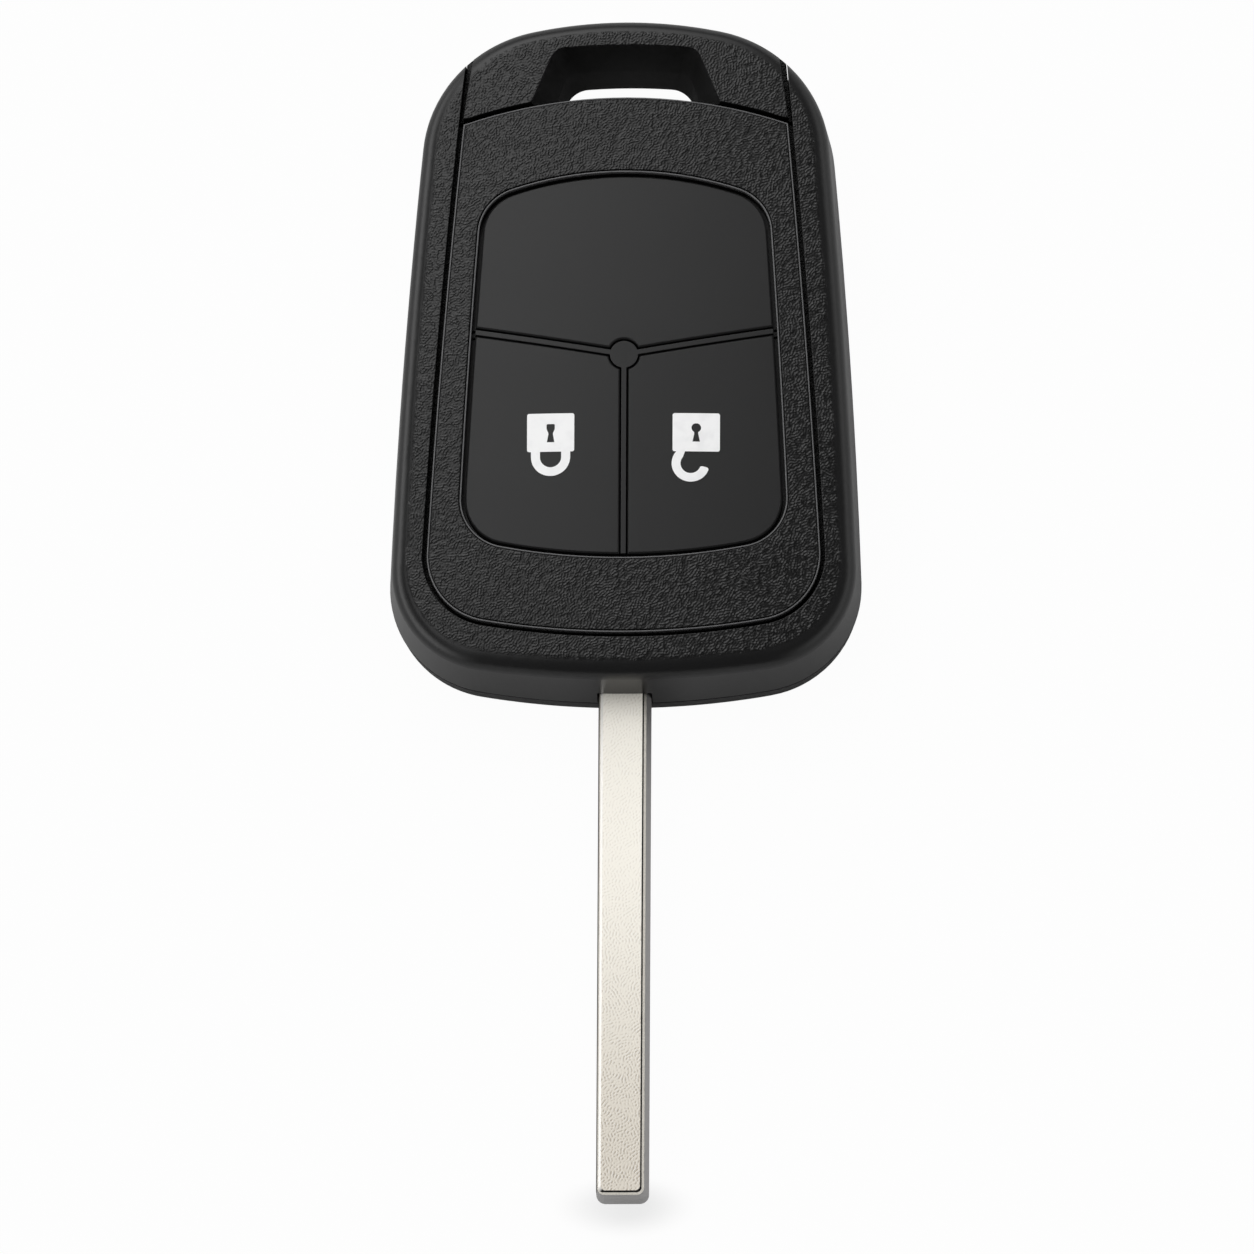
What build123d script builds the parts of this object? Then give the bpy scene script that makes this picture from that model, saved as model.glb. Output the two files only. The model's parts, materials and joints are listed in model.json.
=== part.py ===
from build123d import *
import math
import os

# Sizes in millimetres. The key lies on its back: the back face is z = 0, the buttons face +Z,
# the blade points to -Y and the key ring end to +Y. The origin is under the middle of the
# whole key. Lengths named "..._from_foot" run up from the foot, the end the blade leaves by.

# Case, seen from the front
case_length = 56.0
foot_width = 38.2
head_width = 31.7
foot_bow = 2.8
head_bow = 3.5
side_bow = 0.5
foot_round = 8.8
head_round = 11.3

# Case, seen from the side; its thickness follows from what is stacked inside
parting_height = 4.4
crown_across = 125.0
crown_along = 243.0
wall = 1.4
wall_lean = 0.6
edge_roll = 1.6
back_wall = 1.3
back_lean = 0.6
back_roll = 3.0
parting_chamfer = 0.15
cavity_round = 3.0

# Frame: the band at the foot, the two rails, and the opening between them
foot_band = 3.42
rail_foot_width = 2.7
rail_head_width = 3.75
opening_bow = 2.4
opening_side_bow = 0.35
opening_overrun = 6.0
opening_round = 6.0
ledge_width = 0.75
ledge_thickness = 1.0

# Cover plate and its keypad window
groove = 0.35
cover_thickness = 1.2
cover_play = 0.02
cover_head_bow = 1.8
lip_width = 0.24
lip_depth = 0.5
window_foot_margin = 6.57
window_head_margin = 6.53
window_foot_inset = 2.93
window_head_inset = 2.53
window_foot_bow = 1.9
window_head_bow = 2.35
window_side_bow = 0.1
window_foot_round = 4.0
window_head_round = 3.8

# Keypad
button_length = 16.85
button_depth = 3.1
button_travel = 0.4
press_clearance = 0.1
pad_gap = 0.3
pad_drop = 0.25
pad_bevel = 0.12
rib_width = 0.4
rib_gap = 0.12
rib_rise = 0.175
panel_gap = 0.2
nub_radius = 1.12
flange_width = 0.35
flange_gap = 0.15
ring_width = 0.4
stem_radius = 1.1
stem_hole_clearance = 0.5
mat_thickness = 0.8

# Key ring hoop: its length, and the half widths of its slot at the front, parting plane and back
hoop_length = 7.2
hoop_tongue = 1.6
hoop_taper = 0.35
hoop_flange_gap = 0.06
slot_depth = 4.55
slot_head_bow = 0.25
slot_front_round = 1.3
slot_back_round = 2.0
slot_front_foot = 7.95
slot_front_head = 5.85
slot_parting_foot = 6.5
slot_parting_head = 4.9
slot_back_foot = 6.1
slot_back_head = 4.75

# Coin cell, and the battery cover that goes round it
cell_radius = 10.0
cell_thickness = 3.2
cell_clearance = 0.2
cell_step = 0.3
cell_rim = 1.2
cell_off_middle = 0.6
battery_cover_from_foot = 11.6
battery_cover_end_margin = 5.0
battery_cover_foot_margin = 3.5
battery_cover_head_margin = 2.0
battery_cover_round = 5.0
battery_cover_bow = 1.4
battery_cover_side_bow = 0.2
battery_cover_gap = 0.15
cover_rib_width = 0.8
cover_rib_gap = 0.15
seal_thickness = 0.3
seal_clearance = 0.1
seat_width = 1.2
seat_thickness = 0.8
rim_width = 0.9
pry_notch_width = 6.0
pry_notch_depth = 0.6

# Circuit board and the posts it stands on
board_thickness = 0.8
board_clearance = 0.4
board_foot_gap = 4.1
board_head_gap = 2.0
cell_to_board = 0.9
post_from_board_end = 2.0
post_radius = 1.2
post_wall_gap = 0.8
pin_radius = 0.6
pin_clearance = 0.1

# Switches under the buttons
switch_size = 5.2
switch_corner = 0.4
switch_height = 1.7
plunger_radius = 0.85
plunger_clearance = 0.08
switch_spacing = 11.8
switch_from_window = 9.3

# Contacts on the cell
contact_width = 4.0
contact_pad = 2.0
contact_thickness = 0.25
contact_gap = 0.1
leaf_length = 6.0

# Parts soldered to the board
chip_width = 6.0
chip_length = 6.0
chip_height = 1.2
chip_from_switches = 9.1
leg_length = 0.8
leg_width = 0.6
leg_pitch = 1.2
leg_count = 5
leg_height = 0.3
component_x = 9.0
component_from_chip = 2.5
component_pitch = 2.4
component_length = 1.6
component_width = 0.8
component_height = 0.6
crystal_x = 9.0
crystal_from_chip = 3.5
crystal_width = 3.2
crystal_length = 5.0
crystal_height = 1.0
crystal_round = 0.5
coil_from_chip = 9.0
coil_length = 11.0
coil_width = 3.0
coil_height = 1.5
coil_flange = 0.8

# Blade, its seat block and the pin through its tang
blade_reach = 41.9
blade_width = 4.2
blade_thickness = 2.4
blade_sink = 0.3
blade_edge = 0.2
blade_tip_round = 0.75
blade_ledge_drop = 0.14
blade_shoulder_drop = 0.9
blade_shoulder_left = 0.12
blade_shoulder_right = 0.34
blade_shoulder_tip = 0.12
blade_shoulder_round = 0.6
blade_face_left = 0.2
blade_face_right = 0.54
blade_face_tip = 0.34
blade_face_round = 0.4
blade_face_lean_left = 0.2
blade_face_lean = 0.12
tang_shoulder = 1.0
tang_length = 6.6
blade_clearance = 0.08
seat_block_side_wall = 1.5
seat_block_end_wall = 0.9
blade_pin_radius = 0.8
blade_pin_clearance = 0.04
blade_pin_from_foot = 5.0
blade_pin_below = 1.9
blade_pin_above = 2.2

# Transponder beside the seat block
transponder_gap = 0.6
transponder_from_foot = 8.0
transponder_length = 6.6
transponder_width = 5.0
transponder_height = 2.6
transponder_round = 0.65

# Heights that follow: cell, board, switches, mat and buttons, one on the other
cell_bottom = back_wall + cell_clearance
cell_top = cell_bottom + cell_thickness
board_bottom = cell_top + cell_to_board
board_top = board_bottom + board_thickness
switch_top = board_top + switch_height
mat_top = switch_top + mat_thickness
plunger_top = switch_top + button_travel
button_bottom = mat_top + button_travel + press_clearance
case_thickness = button_bottom + button_depth
front_height = case_thickness + edge_roll
blade_bottom = parting_height - blade_sink
blade_top = blade_bottom + blade_thickness
seat_bottom = back_wall + seal_clearance + seal_thickness
seat_top = seat_bottom + seat_thickness

# Places that follow, along the key
foot_y = (blade_reach - case_length) / 2
head_y = foot_y + case_length
crown_y = foot_y + case_length / 2
cover_foot_y = foot_y + foot_band
cover_head_y = head_y - hoop_length
hoop_foot_y = cover_head_y - hoop_tongue
cavity_head_y = hoop_foot_y - groove
slot_head_y = cover_head_y + slot_depth
slot_corner_y = slot_head_y - slot_head_bow
window_foot_y = cover_foot_y + window_foot_margin
window_head_y = cover_head_y - window_head_margin
rib_y = window_foot_y + button_length
tang_foot_y = foot_y + wall
tang_head_y = tang_foot_y + tang_length
seat_block_head_y = tang_head_y + seat_block_end_wall
blade_pin_y = foot_y + blade_pin_from_foot
board_foot_y = seat_block_head_y + board_foot_gap
board_head_y = cavity_head_y - board_head_gap
switch_y = window_foot_y + switch_from_window
chip_y = switch_y + chip_from_switches
battery_cover_foot_y = foot_y + battery_cover_from_foot
battery_cover_length = 2 * (cell_radius + battery_cover_end_margin)
cell_y = battery_cover_foot_y + battery_cover_length / 2 - cell_off_middle

# Widths that follow
opening_foot_width = foot_width - 2 * rail_foot_width
opening_head_width = head_width - 2 * rail_head_width
ring_outer = flange_width + flange_gap + ring_width
cover_rib_inset = seat_width + cover_rib_gap
tang_width = blade_width + 2 * tang_shoulder
seat_block_width = tang_width + 2 * (blade_clearance + seat_block_side_wall)
switch_places = [(-switch_spacing / 2, switch_y), (switch_spacing / 2, switch_y)]
far = 2 * case_length


def arc_radius(chord, bow):
    """Radius of the arc over a chord that rises by a bow at its middle."""
    return ((chord / 2) ** 2 + bow**2) / (2 * bow)


def side_arc(panel):
    """Radius and centre of the large circle that a panel's right side is an arc of."""
    foot_corner_y = panel["foot"] + panel["foot_bow"]
    head_corner_y = panel["head"] - panel["head_bow"]
    rise = head_corner_y - foot_corner_y
    step = (panel["foot_width"] - panel["head_width"]) / 2
    chord = math.hypot(step, rise)
    radius = arc_radius(chord, panel["side_bow"])
    reach = radius - panel["side_bow"]
    centre_x = (panel["foot_width"] + panel["head_width"]) / 4 - reach * rise / chord
    centre_y = (foot_corner_y + head_corner_y) / 2 - reach * step / chord
    return radius, centre_x, centre_y


def half_width(panel, y, grow=0.0):
    """Half of a panel's width at one place along it."""
    radius, centre_x, centre_y = side_arc(panel)
    return centre_x + math.sqrt((radius + grow) ** 2 - (y - centre_y) ** 2)


def four_arcs(panel, grow):
    """Sharp-cornered outline of a panel with four bowed sides, moved out by an amount.

    Each side is an arc of one large circle, so an outline that is moved in or out is the same
    four circles with other radii.
    """
    foot_radius = arc_radius(panel["foot_width"], panel["foot_bow"])
    head_radius = arc_radius(panel["head_width"], panel["head_bow"])
    side_radius, side_centre_x, side_centre_y = side_arc(panel)
    with BuildSketch() as outline:
        with Locations((0, panel["foot"] + foot_radius)):
            Circle(foot_radius + grow)
        with Locations((0, panel["head"] - head_radius)):
            Circle(head_radius + grow, mode=Mode.INTERSECT)
        for side in (-1, 1):
            with Locations((side * side_centre_x, side_centre_y)):
                Circle(side_radius + grow, mode=Mode.INTERSECT)
    return outline.sketch


def round_corners(outline, at_foot, at_head):
    """An outline with its two foot corners and its two head corners rounded."""
    with BuildSketch() as rounded:
        add(outline)
        fillet(rounded.vertices().group_by(Axis.Y)[0], at_foot)
        fillet(rounded.vertices().group_by(Axis.Y)[-1], at_head)
    return rounded.sketch


def bowed_outline(panel, grow=0.0):
    """Outline of a panel with its corners rounded, moved out by an amount, or in if negative."""
    return round_corners(four_arcs(panel, grow), panel["foot_round"] + grow, panel["head_round"] + grow)


def cut_off(outline, edge_y, keep):
    """The part of an outline above (keep = 1) or below (keep = -1) a straight edge."""
    with BuildSketch() as kept:
        add(outline)
        with Locations((0, edge_y + keep * far / 2)):
            Rectangle(far, far, mode=Mode.INTERSECT)
    return kept.sketch


def prism(outline, bottom, top):
    """Straight solid over an outline, between two heights."""
    with BuildPart() as column:
        with BuildSketch(Plane.XY.offset(bottom)):
            add(outline)
        extrude(amount=top - bottom)
    return column.part


def crowned_block(depth):
    """Everything under the crowned front surface, lowered by a depth.

    A bowed cross section is swung about an axis far below, so the surface is crowned both ways.
    """
    half = foot_width
    edge = crown_along - crown_across + math.sqrt(crown_across**2 - half**2)
    base = crown_along - 2 * case_thickness
    swing = math.asin(case_length / crown_along)
    start = Plane(
        origin=(0, crown_y, case_thickness - depth - crown_along),
        x_dir=(1, 0, 0),
        z_dir=(0, -math.cos(swing), math.sin(swing)),
    )
    with BuildPart() as block:
        with BuildSketch(start):
            with BuildLine():
                ThreePointArc((-half, edge), (0, crown_along), (half, edge))
                Polyline((half, edge), (half, base), (-half, base), (-half, edge))
            make_face()
        revolve(axis=Axis(start.origin, (1, 0, 0)), revolution_arc=2 * math.degrees(swing))
    return block.part


# Outlines that several pieces share
case_panel = {
    "foot": foot_y,
    "head": head_y,
    "foot_width": foot_width,
    "head_width": head_width,
    "foot_bow": foot_bow,
    "head_bow": head_bow,
    "side_bow": side_bow,
    "foot_round": foot_round,
    "head_round": head_round,
}
battery_cover_panel = {
    "foot": battery_cover_foot_y,
    "head": battery_cover_foot_y + battery_cover_length,
    "foot_width": 2 * (cell_radius + battery_cover_foot_margin),
    "head_width": 2 * (cell_radius + battery_cover_head_margin),
    "foot_bow": battery_cover_bow,
    "head_bow": battery_cover_bow,
    "side_bow": battery_cover_side_bow,
    "foot_round": battery_cover_round,
    "head_round": battery_cover_round,
}
# The opening in the frame runs on past the head, where the frame's two rails end in points
opening_panel = {
    "foot": cover_foot_y,
    "head": head_y + opening_overrun,
    "foot_width": opening_foot_width,
    "head_width": opening_head_width,
    "foot_bow": opening_bow,
    "head_bow": opening_bow,
    "side_bow": opening_side_bow,
    "foot_round": opening_round,
    "head_round": opening_round,
}
window_foot_half = half_width(opening_panel, window_foot_y + window_foot_bow) - window_foot_inset
window_head_half = half_width(opening_panel, window_head_y - window_head_bow) - window_head_inset
window_panel = {
    "foot": window_foot_y,
    "head": window_head_y,
    "foot_width": 2 * window_foot_half,
    "head_width": 2 * window_head_half,
    "foot_bow": window_foot_bow,
    "head_bow": window_head_bow,
    "side_bow": window_side_bow,
    "foot_round": window_foot_round,
    "head_round": window_head_round,
}
cover_head_radius = arc_radius(opening_head_width, cover_head_bow)


def below_cover_head(outline, grow):
    """The part of an outline below the cover's bowed head edge, with that edge moved by grow."""
    with BuildSketch() as kept:
        add(outline)
        with Locations((0, cover_head_y - cover_head_radius)):
            Circle(cover_head_radius + grow, mode=Mode.INTERSECT)
    return kept.sketch


cover_outline = below_cover_head(bowed_outline(opening_panel, -groove), 0)

# The body that all three front shell pieces are parted from
crown = crowned_block(0)
with BuildPart() as front_blank:
    with BuildSketch(Plane.XY.offset(parting_height)):
        add(bowed_outline(case_panel))
    with BuildSketch(Plane.XY.offset(front_height)):
        add(bowed_outline(case_panel, -wall_lean))
    loft(ruled=True)
    add(crown, mode=Mode.INTERSECT)
    fillet(front_blank.faces().sort_by(Axis.Z)[-1].edges(), edge_roll)
    chamfer(front_blank.faces().sort_by(Axis.Z)[0].edges(), parting_chamfer)


# The two halves of the case are hollow as far as the wall below the key ring slot
cavity_plan = cut_off(four_arcs(case_panel, -wall), cavity_head_y, -1)
cavity_outline = round_corners(cavity_plan, foot_round - wall, cavity_round)
ledge_opening = cut_off(bowed_outline(opening_panel, -groove - ledge_width), cavity_head_y, -1)
hoop_bay = cut_off(bowed_outline(opening_panel), cavity_head_y, 1)
cover_underside = crowned_block(cover_thickness)
cover_seat = crowned_block(cover_thickness + cover_play)
ledge_underside = crowned_block(cover_thickness + ledge_thickness)

def blade_outline(inset_left, inset_right, inset_tip, corner):
    """Outline of the blade from above, drawn in at its two sides and its tip."""
    with BuildSketch() as outline:
        with Locations(((inset_left - inset_right) / 2, tang_foot_y)):
            Rectangle(
                blade_width - inset_left - inset_right,
                blade_reach + wall - inset_tip,
                align=(Align.CENTER, Align.MAX),
            )
        fillet(outline.vertices().group_by(Axis.Y)[0], corner)
    return outline.sketch


# Blade: a bar with drawn-in shoulders, a low raised face and a wider tang inside the case
blade_shoulder = (blade_shoulder_left, blade_shoulder_right, blade_shoulder_tip)
blade_face = (blade_face_left, blade_face_right, blade_face_tip)
with BuildPart() as blade:
    with BuildSketch(Plane.XY.offset(blade_bottom)):
        add(blade_outline(0, 0, 0, blade_tip_round))
    extrude(amount=blade_thickness - blade_shoulder_drop)
    bottom_edges = blade.edges().group_by(Axis.Z)[0]
    chamfer(bottom_edges - bottom_edges.group_by(Axis.Y)[-1], blade_edge)
    with BuildSketch(Plane.XY.offset(blade_top - blade_shoulder_drop)):
        add(blade_outline(0, 0, 0, blade_tip_round))
    with BuildSketch(Plane.XY.offset(blade_top - blade_ledge_drop)):
        add(blade_outline(*blade_shoulder, blade_shoulder_round))
    loft(ruled=True)
    with BuildSketch(Plane.XY.offset(blade_top - blade_ledge_drop)):
        add(blade_outline(*blade_face, blade_face_round))
    with BuildSketch(Plane.XY.offset(blade_top)):
        add(
            blade_outline(
                blade_face_left + blade_face_lean_left,
                blade_face_right + blade_face_lean,
                blade_face_tip + blade_face_lean,
                blade_face_round,
            )
        )
    loft(ruled=True)
    with BuildSketch(Plane.XY.offset(blade_bottom)):
        with Locations((0, tang_foot_y)):
            Rectangle(tang_width, tang_length, align=(Align.CENTER, Align.MIN))
        with Locations((0, blade_pin_y)):
            Circle(blade_pin_radius + blade_pin_clearance, mode=Mode.SUBTRACT)
    extrude(amount=blade_thickness)
blade.part.label = "blade"

with BuildSketch() as blade_way:
    with Locations((0, tang_foot_y)):
        Rectangle(blade_width + 2 * blade_clearance, 3 * wall)
    with Locations((0, (tang_foot_y + tang_head_y) / 2)):
        Rectangle(tang_width + 2 * blade_clearance, tang_length + 2 * blade_clearance)
with BuildSketch() as seat_block:
    with Locations((0, seat_block_head_y)):
        Rectangle(
            seat_block_width, seat_block_head_y - foot_y, align=(Align.CENTER, Align.MAX)
        )
    add(bowed_outline(case_panel), mode=Mode.INTERSECT)

blade_pin_bottom = blade_bottom - blade_pin_below
blade_pin_top = blade_top + blade_pin_above
with BuildPart() as blade_pin:
    with BuildSketch(Plane.XY.offset(blade_pin_bottom)):
        with Locations((0, blade_pin_y)):
            Circle(blade_pin_radius)
    extrude(amount=blade_pin_top - blade_pin_bottom)
    chamfer(blade_pin.edges().filter_by(GeomType.CIRCLE), blade_edge)
blade_pin.part.label = "blade_pin"
pin_bore = prism(
    Pos(0, blade_pin_y) * Circle(blade_pin_radius + blade_pin_clearance),
    blade_pin_bottom - blade_pin_clearance,
    blade_pin_top + blade_pin_clearance,
)

# Front frame: the U round the cover, with the ledge that the cover lies on
with BuildPart() as front_frame:
    add(front_blank.part)
    seat_cut = prism(bowed_outline(opening_panel), parting_height, front_height)
    add(seat_cut - cover_seat, mode=Mode.SUBTRACT)
    cavity = prism(cavity_outline, parting_height, case_thickness)
    add(cavity & ledge_underside, mode=Mode.SUBTRACT)
    add(prism(ledge_opening, parting_height, case_thickness), mode=Mode.SUBTRACT)
    add(prism(hoop_bay, parting_height, case_thickness), mode=Mode.SUBTRACT)
    block = prism(seat_block.sketch, parting_height, case_thickness)
    add((block & ledge_underside) & front_blank.part)
    add(prism(blade_way.sketch, parting_height, blade_top + blade_clearance), mode=Mode.SUBTRACT)
    add(pin_bore, mode=Mode.SUBTRACT)
front_frame.part.label = "front_frame"

# Front cover: a thin crowned plate with a stepped edge and the keypad window
with BuildSketch() as cover_raised:
    add(below_cover_head(bowed_outline(opening_panel, -groove - lip_width), -lip_width))
    add(bowed_outline(window_panel, lip_width), mode=Mode.SUBTRACT)
with BuildPart() as front_cover:
    add(prism(cover_outline, parting_height, case_thickness))
    add(crowned_block(lip_depth), mode=Mode.INTERSECT)
    add(prism(cover_raised.sketch, parting_height, case_thickness) & crown)
    add(prism(bowed_outline(window_panel), 0, case_thickness), mode=Mode.SUBTRACT)
    add(cover_underside, mode=Mode.SUBTRACT)
front_cover.part.label = "front_cover"

# Key ring hoop: the end piece between the rails, with the slot that narrows to the back
def slot_section(height, foot_half, head_half, corner):
    """Section of the key ring slot, its foot side along the cover's bowed head edge."""
    foot_edge_y = cover_head_y - cover_head_radius + math.sqrt(cover_head_radius**2 - foot_half**2)
    with BuildSketch(Plane.XY.offset(height)) as section:
        with BuildLine():
            ThreePointArc((-foot_half, foot_edge_y), (0, cover_head_y), (foot_half, foot_edge_y))
            Line((foot_half, foot_edge_y), (head_half, slot_corner_y))
            ThreePointArc((head_half, slot_corner_y), (0, slot_head_y), (-head_half, slot_corner_y))
            Line((-head_half, slot_corner_y), (-foot_half, foot_edge_y))
        make_face()
        fillet(section.vertices().group_by(Axis.Y)[-1], corner)
    return section.sketch


with BuildPart() as front_slot:
    add(slot_section(parting_height, slot_parting_foot, slot_parting_head, slot_front_round))
    add(slot_section(case_thickness, slot_front_foot, slot_front_head, slot_front_round))
    loft(ruled=True)
with BuildPart() as back_slot:
    add(slot_section(0, slot_back_foot, slot_back_head, slot_back_round))
    add(slot_section(parting_height, slot_parting_foot, slot_parting_head, slot_front_round))
    loft(ruled=True)

# The hoop's sides draw away from the rails towards the head. A flange below closes that gap.
hoop_foot_half = half_width(opening_panel, hoop_foot_y, -groove)
hoop_head_half = half_width(opening_panel, head_y, -groove) - hoop_taper
with BuildSketch() as hoop_outline:
    with BuildLine():
        Polyline(
            (-hoop_foot_half, hoop_foot_y),
            (hoop_foot_half, hoop_foot_y),
            (hoop_head_half, head_y),
            (-hoop_head_half, head_y),
            close=True,
        )
    make_face()
hoop_flange = cut_off(bowed_outline(opening_panel, -hoop_flange_gap), hoop_foot_y, 1)
cover_room = below_cover_head(bowed_outline(opening_panel), groove)
with BuildPart() as key_ring_hoop:
    add(front_blank.part)
    add(
        prism(hoop_outline.sketch, 0, case_thickness)
        + (prism(hoop_flange, 0, case_thickness) & cover_seat),
        mode=Mode.INTERSECT,
    )
    add(prism(cover_room, 0, case_thickness) - cover_seat, mode=Mode.SUBTRACT)
    add(front_slot.part, mode=Mode.SUBTRACT)
key_ring_hoop.part.label = "key_ring_hoop"

# Rear case: a tray with rolled edges, open at the battery cover
battery_cover_outline = bowed_outline(battery_cover_panel)
seat_opening = bowed_outline(battery_cover_panel, -seat_width)
post_places = []
for post_y in (board_foot_y + post_from_board_end, board_head_y - post_from_board_end):
    post_x = half_width(case_panel, post_y, -wall - post_wall_gap - post_radius)
    post_places += [(-post_x, post_y), (post_x, post_y)]

with BuildPart() as tray_room:
    with BuildSketch(Plane.XY.offset(back_wall)):
        add(cavity_outline)
    extrude(amount=parting_height - back_wall)
    fillet(tray_room.faces().sort_by(Axis.Z)[0].edges(), back_roll - wall)

with BuildPart() as rear_blank:
    with BuildSketch(Plane.XY):
        add(bowed_outline(case_panel, -back_lean))
    with BuildSketch(Plane.XY.offset(parting_height)):
        add(bowed_outline(case_panel))
    loft(ruled=True)
    fillet(rear_blank.faces().sort_by(Axis.Z)[0].edges(), back_roll)
    chamfer(rear_blank.faces().sort_by(Axis.Z)[-1].edges(), parting_chamfer)

with BuildPart() as rear_case:
    add(rear_blank.part)
    add(tray_room.part, mode=Mode.SUBTRACT)
    with BuildSketch(Plane.XY.offset(back_wall)):
        with Locations(*post_places):
            Circle(post_radius)
    extrude(amount=board_bottom - back_wall)
    with BuildSketch(Plane.XY.offset(board_bottom)):
        with Locations(*post_places):
            Circle(pin_radius)
    extrude(amount=board_thickness + pin_clearance)
    with BuildSketch(Plane.XY.offset(back_wall)):
        add(bowed_outline(battery_cover_panel, battery_cover_gap + rim_width))
    extrude(amount=seat_top - back_wall)
    with BuildSketch():
        add(bowed_outline(battery_cover_panel, battery_cover_gap))
    extrude(amount=seat_bottom, mode=Mode.SUBTRACT)
    with BuildSketch():
        add(seat_opening)
    extrude(amount=parting_height, mode=Mode.SUBTRACT)
    add(prism(seat_block.sketch, back_wall, parting_height) & rear_blank.part)
    add(prism(blade_way.sketch, blade_bottom, parting_height), mode=Mode.SUBTRACT)
    add(pin_bore, mode=Mode.SUBTRACT)
    add(back_slot.part, mode=Mode.SUBTRACT)
rear_case.part.label = "rear_case"

# Battery cover: lies flush in the back, with a rib that centres it and keeps the cell in place
with BuildPart() as battery_cover:
    with BuildSketch():
        add(battery_cover_outline)
    extrude(amount=back_wall)
    with BuildSketch(Plane.XY.offset(back_wall)):
        add(bowed_outline(battery_cover_panel, -cover_rib_inset))
        add(bowed_outline(battery_cover_panel, -cover_rib_inset - cover_rib_width), mode=Mode.SUBTRACT)
    extrude(amount=seat_bottom - back_wall + seat_thickness / 2)
    with BuildSketch():
        with Locations((0, battery_cover_foot_y + battery_cover_length)):
            SlotOverall(pry_notch_width, 2 * pry_notch_depth)
    extrude(amount=back_wall / 2, mode=Mode.SUBTRACT)
battery_cover.part.label = "battery_cover"

with BuildPart() as cover_seal:
    with BuildSketch(Plane.XY.offset(seat_bottom - seal_thickness)):
        add(battery_cover_outline)
        add(seat_opening, mode=Mode.SUBTRACT)
    extrude(amount=seal_thickness)
cover_seal.part.label = "cover_seal"

# Keypad: a fixed blank panel above, two buttons below, and a three-armed frame between them
pad_outline = bowed_outline(window_panel, -pad_gap)
pad_surface = crowned_block(pad_drop)
flange_surface = crowned_block(cover_thickness + flange_gap)


def above_ribs(rise):
    """Region over the two sloping ribs, with its edge moved up by a rise."""
    with BuildSketch() as region:
        with BuildLine():
            Polyline(
                (0, rib_y + rise),
                (far, rib_y + rise + rib_rise * far),
                (far, rib_y + 2 * far),
                (-far, rib_y + 2 * far),
                (-far, rib_y + rise + rib_rise * far),
                close=True,
            )
        make_face()
    return region.sketch


def button_side(side, edge):
    """Region of one button inside an edge outline; side is -1 for the left, 1 for the right."""
    with BuildSketch() as region:
        add(edge)
        with Locations((side * (rib_width / 2 + rib_gap + far / 2), rib_y)):
            Rectangle(far, 2 * far, mode=Mode.INTERSECT)
        add(above_ribs(-rib_width / 2 - rib_gap), mode=Mode.SUBTRACT)
        with Locations((0, rib_y)):
            Circle(nub_radius + rib_gap, mode=Mode.SUBTRACT)
    return region.sketch


def button(side, place):
    """One button: cap, the flange that keeps it under the cover, and the stem on its switch."""
    with BuildPart() as cap:
        add(prism(button_side(side, pad_outline), button_bottom, case_thickness))
        add(pad_surface, mode=Mode.INTERSECT)
        chamfer(cap.faces().sort_by(Axis.Z)[-1].edges(), pad_bevel)
        flange = prism(
            button_side(side, bowed_outline(window_panel, flange_width)), button_bottom, case_thickness
        )
        add(flange & flange_surface)
        with BuildSketch(Plane.XY.offset(plunger_top)):
            with Locations(place):
                Circle(stem_radius)
        extrude(amount=button_bottom - plunger_top)
    return cap.part


lock_button = button(-1, switch_places[0])
lock_button.label = "lock_button"
unlock_button = button(1, switch_places[1])
unlock_button.label = "unlock_button"

with BuildSketch() as panel_outline:
    add(pad_outline)
    add(above_ribs(rib_width / 2 + panel_gap), mode=Mode.INTERSECT)
    with Locations((0, rib_y)):
        Circle(nub_radius + panel_gap, mode=Mode.SUBTRACT)
with BuildSketch() as panel_flange:
    add(bowed_outline(window_panel, flange_width))
    add(above_ribs(rib_width / 2 + panel_gap), mode=Mode.INTERSECT)
    with Locations((0, rib_y)):
        Circle(nub_radius + panel_gap, mode=Mode.SUBTRACT)
with BuildPart() as blank_panel:
    add(prism(panel_outline.sketch, mat_top, case_thickness) & pad_surface)
    chamfer(blank_panel.faces().sort_by(Axis.Z)[-1].edges(), pad_bevel)
    add(prism(panel_flange.sketch, mat_top, case_thickness) & cover_seat)
blank_panel.part.label = "blank_panel"

with BuildSketch() as ribs:
    add(above_ribs(-rib_width / 2))
    add(above_ribs(rib_width / 2), mode=Mode.SUBTRACT)
    with Locations((0, rib_y - far / 2)):
        Rectangle(rib_width, far)
    with Locations((0, rib_y)):
        Circle(nub_radius)
    add(bowed_outline(window_panel, ring_outer), mode=Mode.INTERSECT)
with BuildSketch() as shown_ribs:
    add(ribs.sketch)
    add(pad_outline, mode=Mode.INTERSECT)
with BuildSketch() as keypad_ring:
    add(bowed_outline(window_panel, ring_outer))
    add(bowed_outline(window_panel, ring_outer - ring_width), mode=Mode.SUBTRACT)
    add(ribs.sketch)
with BuildPart() as keypad_frame:
    add(prism(keypad_ring.sketch, mat_top, case_thickness) & cover_seat)
    add(prism(shown_ribs.sketch, mat_top, case_thickness) & pad_surface)
keypad_frame.part.label = "keypad_frame"

with BuildPart() as keypad_mat:
    with BuildSketch(Plane.XY.offset(switch_top)):
        add(bowed_outline(window_panel, ring_outer))
        with Locations(*switch_places):
            Circle(stem_radius + stem_hole_clearance, mode=Mode.SUBTRACT)
    extrude(amount=mat_thickness)
keypad_mat.part.label = "keypad_mat"

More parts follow.
